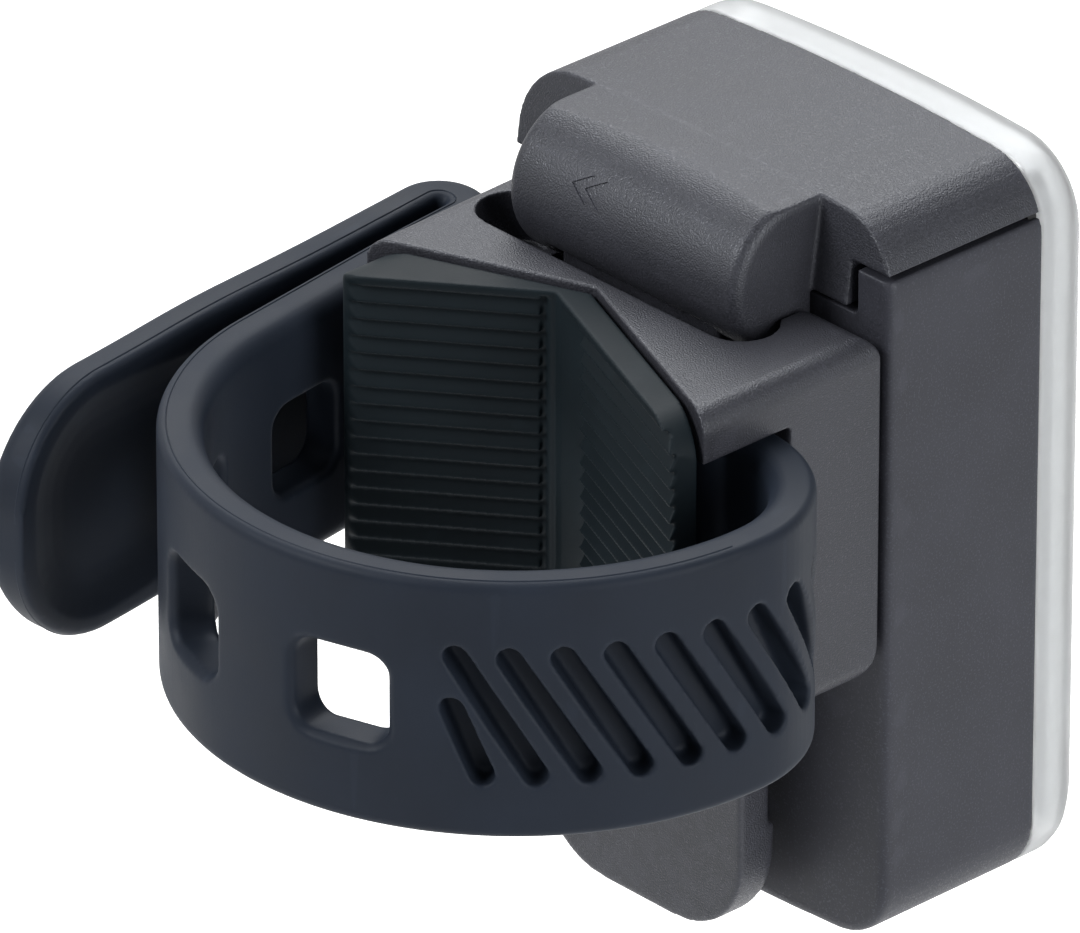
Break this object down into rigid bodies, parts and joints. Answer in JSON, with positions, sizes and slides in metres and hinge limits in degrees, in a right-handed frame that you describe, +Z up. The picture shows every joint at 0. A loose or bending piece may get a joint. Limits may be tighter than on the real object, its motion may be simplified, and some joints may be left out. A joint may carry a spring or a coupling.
{
  "type": "bike headlight",
  "caption": "Slim rounded rectangular bike headlight with a hinged spring clip, held in a strap-on handlebar bracket with a ribbed V-shaped rubber seat and a slotted silicone strap.",
  "frame": {"origin": "on the axis of the handlebar that the ribbed seat and the strap hold, about level with the middle of the strap", "axes": "+Z up along the handlebar's axis in the pictured pose, -Y along the beam, +X towards the strap's hooked side and pull tab"},
  "size_m": [0.0461, 0.0538, 0.0477],
  "materials": {
    "bracket_plastic": "coarse spark-eroded texture, satin",
    "casing_plastic": "fine matte texture",
    "pad_rubber": "smooth satin rubber",
    "strap_rubber": "soft matte silicone",
    "seal_rubber": "matte",
    "steel": "bright drawn",
    "lens_clear": "clear, frosted rim",
    "bright_plastic": "metallised",
    "board": "solder mask",
    "led_plastic": "clear resin",
    "button_plastic": "translucent satin",
    "cell_foil": "foil pouch",
    "lead_plastic": "insulation"
  },
  "bodies": {
    "bracket": {"bracket_body": "bracket_plastic", "bar_pad": "pad_rubber", "strap": "strap_rubber", "strap_anchor_pin": "steel"},
    "lamp": {"lamp_body": "casing_plastic", "top_cover": "bracket_plastic", "cover_gasket": "seal_rubber", "cover_screws": "steel", "clip_pin": "steel", "clip_spring": "steel", "lens": "lens_clear", "lens_gasket": "seal_rubber", "reflector": "bright_plastic", "circuit_board": "board", "leds": "led_plastic", "tact_switch": "casing_plastic", "usb_socket": "steel", "battery": "cell_foil", "battery_pad": "seal_rubber", "battery_leads": "lead_plastic"},
    "clip": {"clip": "bracket_plastic"},
    "flap": {"usb_flap": "pad_rubber"},
    "button": {"power_button": "button_plastic"}
  },
  "joints": [
    {"name": "lamp_lift", "type": "slide", "parent": "bracket", "child": "lamp", "axis": [0, 0, 1], "range_m": [0, 0.045]},
    {"name": "clip_hinge", "type": "hinge", "parent": "lamp", "child": "clip", "pos_m": [0, -0.0202, 0.0138], "axis": [1, 0, 0], "range_deg": [0, 2.5], "stiffness_Nm_per_rad": 0.3},
    {"name": "flap_hinge", "type": "hinge", "parent": "lamp", "child": "flap", "pos_m": [0.01525, -0.0335, 0.007], "axis": [0, 0, -1], "range_deg": [0, 100]},
    {"name": "button_press", "type": "slide", "parent": "lamp", "child": "button", "axis": [0, 1, 0], "range_m": [0, 0.0006], "stiffness_N_per_m": 900}
  ]
}
